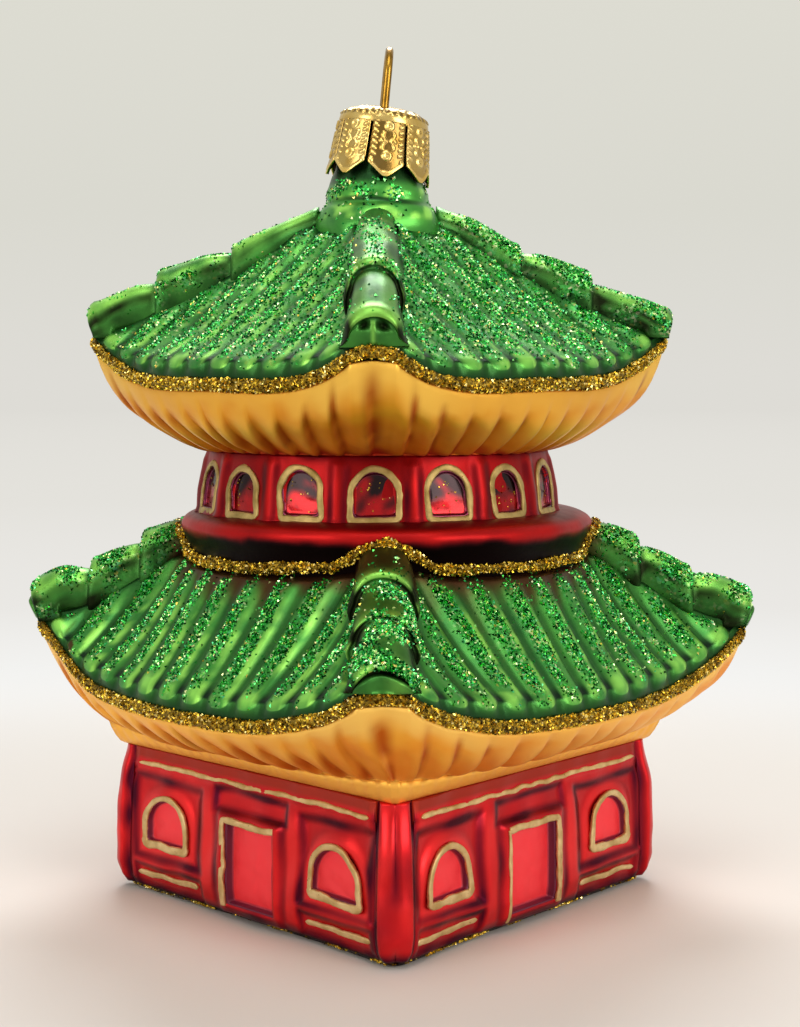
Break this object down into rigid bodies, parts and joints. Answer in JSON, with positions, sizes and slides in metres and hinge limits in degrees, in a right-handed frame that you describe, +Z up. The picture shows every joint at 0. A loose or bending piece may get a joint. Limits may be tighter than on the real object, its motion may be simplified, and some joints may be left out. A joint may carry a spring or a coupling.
{
  "type": "glass pagoda christmas ornament",
  "caption": "Blown glass hanging ornament shaped as a two-tier pagoda: square storey with doors, ribbed tiled roofs with upturned hips, round upper storey, crown cap and wire loop.",
  "frame": {"origin": "centre of the flat base, on the surface it stands on", "axes": "+Z up along the ornament's height, -Y out of the front door, +X to its right; the walls are square to X and Y"},
  "size_m": [0.078, 0.078, 0.1159],
  "materials": {
    "red_lacquer": "satin red lacquer over silvered glass, airbrushed dark at the foot",
    "post_red_lacquer": "satin red lacquer over silvered glass",
    "drum_red_lacquer": "satin deep red lacquer over silvered glass",
    "pane_red_lacquer": "glossy transparent red over silvering",
    "green_lacquer": "gloss green lacquer over silvered glass, with green glitter",
    "hip_green_lacquer": "gloss green lacquer over silvered glass, with green glitter",
    "soffit_gold_lacquer": "matte pearl yellow-orange lacquer over silvered glass",
    "base_lacquer": "dark red lacquer over silvered glass",
    "gold_glitter": "coarse gold glitter in glue",
    "gold_line_paint": "hand-brushed khaki gold paint",
    "cap_gold": "bright gold-coloured stamped sheet",
    "wire_gold": "gold-coloured drawn wire"
  },
  "bodies": {
    "root": {"base_plate": "base_lacquer", "base_glitter": "gold_glitter", "wall_front": "red_lacquer", "wall_right": "red_lacquer", "wall_back": "red_lacquer", "wall_left": "red_lacquer", "corner_post_front_right": "post_red_lacquer", "corner_post_back_right": "post_red_lacquer", "corner_post_back_left": "post_red_lacquer", "corner_post_front_left": "post_red_lacquer", "door_front": "pane_red_lacquer", "door_right": "pane_red_lacquer", "door_back": "pane_red_lacquer", "door_left": "pane_red_lacquer", "windows_front": "pane_red_lacquer", "windows_right": "pane_red_lacquer", "windows_back": "pane_red_lacquer", "windows_left": "pane_red_lacquer", "gold_lines_front": "gold_line_paint", "gold_lines_right": "gold_line_paint", "gold_lines_back": "gold_line_paint", "gold_lines_left": "gold_line_paint", "lower_soffit": "soffit_gold_lacquer", "lower_eave_glitter": "gold_glitter", "lower_roof": "green_lacquer", "lower_hip_front_right": "hip_green_lacquer", "lower_hip_back_right": "hip_green_lacquer", "lower_hip_back_left": "hip_green_lacquer", "lower_hip_front_left": "hip_green_lacquer", "ledge": "drum_red_lacquer", "ledge_glitter": "gold_glitter", "upper_storey": "drum_red_lacquer", "upper_window_panes": "pane_red_lacquer", "upper_window_outlines": "gold_line_paint", "upper_soffit": "soffit_gold_lacquer", "upper_eave_glitter": "gold_glitter", "upper_roof": "green_lacquer", "upper_hip_front_right": "hip_green_lacquer", "upper_hip_back_right": "hip_green_lacquer", "upper_hip_back_left": "hip_green_lacquer", "upper_hip_front_left": "hip_green_lacquer", "neck": "green_lacquer", "cap": "cap_gold", "hanger": "wire_gold"}
  },
  "joints": []
}
